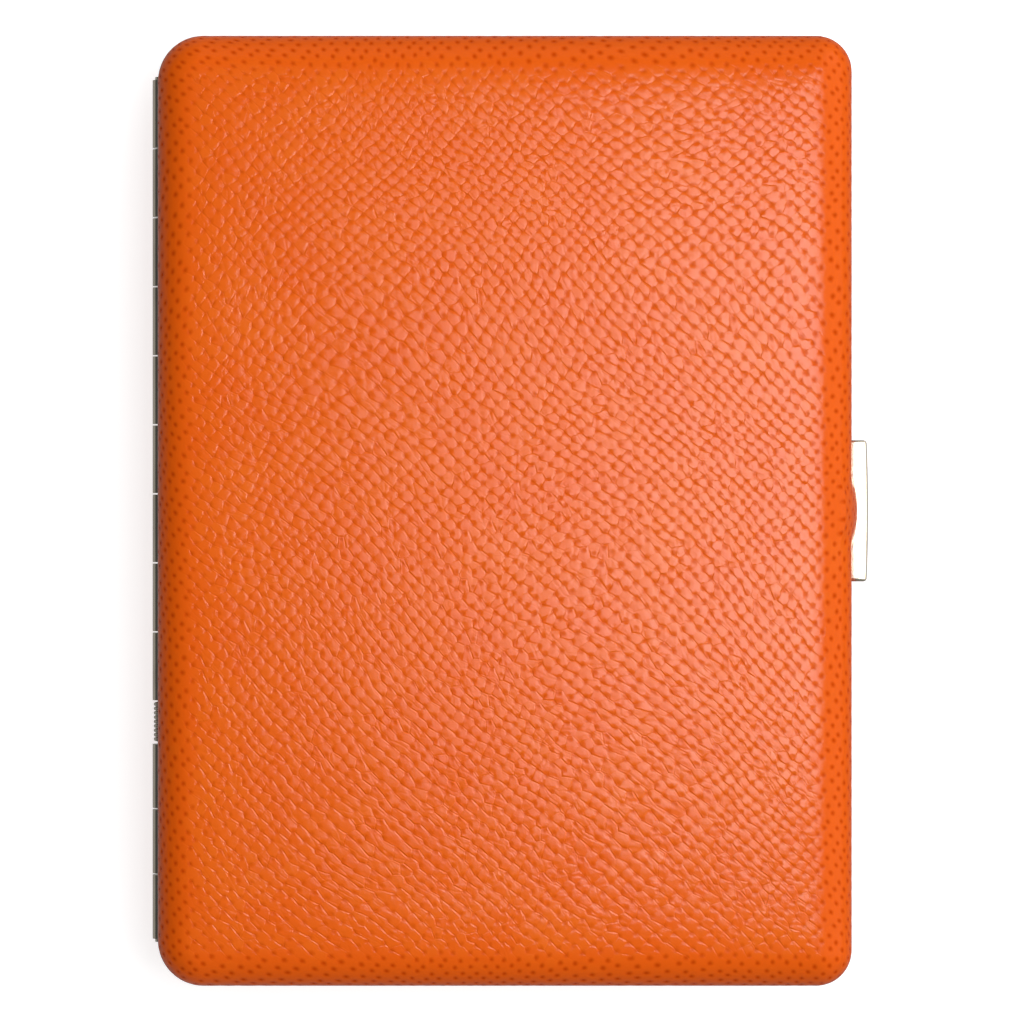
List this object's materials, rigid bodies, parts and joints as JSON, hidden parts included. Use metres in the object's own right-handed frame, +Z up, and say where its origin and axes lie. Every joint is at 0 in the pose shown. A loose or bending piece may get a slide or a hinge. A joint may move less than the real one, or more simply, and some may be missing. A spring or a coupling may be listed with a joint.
{
  "type": "cigarette case",
  "caption": "Hinged pocket cigarette case in grained leather, with metal rims, a knuckled spine hinge, a rocking latch and sprung retaining arms.",
  "frame": {"origin": "middle of the back cover's flat outer face, on which the closed case lies", "axes": "+Z up through the case's thickness to the front cover, +Y to the top edge, +X to the opening side with the latch"},
  "size_m": [0.0725, 0.095, 0.02],
  "materials": {
    "cover_leather": "embossed pebble grain, satin",
    "shell_steel": "pressed sheet",
    "lining_cloth": "fine woven cloth",
    "rim_nickel": "nickel plate, lightly brushed",
    "latch_nickel": "nickel plate, polished",
    "bracket_nickel": "nickel plate, satin",
    "arm_nickel": "nickel plate, satin",
    "rivet_nickel": "nickel plate, satin",
    "pin_steel": "drawn wire",
    "spring_steel": "drawn spring wire"
  },
  "bodies": {
    "base": {"back_leather": "cover_leather", "back_shell": "shell_steel", "back_lining": "lining_cloth", "back_frame": "rim_nickel", "hinge_pin": "pin_steel", "hinge_spring": "spring_steel", "latch_bracket": "bracket_nickel", "latch_bracket_rivets": "rivet_nickel", "latch_pin": "pin_steel", "latch_spring": "spring_steel", "back_arm_bracket": "bracket_nickel", "back_arm_rivets": "rivet_nickel", "back_arm_pin": "pin_steel", "back_arm_spring": "spring_steel"},
    "lid": {"front_leather": "cover_leather", "front_shell": "shell_steel", "front_lining": "lining_cloth", "front_frame": "rim_nickel", "catch_tab": "bracket_nickel", "catch_rivets": "rivet_nickel", "front_arm_bracket": "bracket_nickel", "front_arm_rivets": "rivet_nickel", "front_arm_pin": "pin_steel", "front_arm_spring": "spring_steel"},
    "latch": {"latch_lever": "latch_nickel"},
    "back_arm": {"back_arm": "arm_nickel"},
    "front_arm": {"front_arm": "arm_nickel"}
  },
  "joints": [
    {"name": "lid_hinge", "type": "hinge", "parent": "base", "child": "lid", "pos_m": [-0.0348, 0, 0.01], "axis": [0, -1, 0], "range_deg": [0, 180]},
    {"name": "latch_rock", "type": "hinge", "parent": "base", "child": "latch", "pos_m": [0.0354, 0, 0.0087], "axis": [0, 1, 0], "range_deg": [0, 20], "stiffness_Nm_per_rad": 0.002, "springref_deg": -8.59},
    {"name": "back_arm_lift", "type": "hinge", "parent": "base", "child": "back_arm", "pos_m": [-0.031, 0, 0.0089], "axis": [0, -1, 0], "range_deg": [0, 6.5], "stiffness_Nm_per_rad": 0.01, "springref_deg": -17.19},
    {"name": "front_arm_lift", "type": "hinge", "parent": "lid", "child": "front_arm", "pos_m": [-0.031, 0, 0.0111], "axis": [0, 1, 0], "range_deg": [0, 6.5], "stiffness_Nm_per_rad": 0.01, "springref_deg": -17.19}
  ]
}
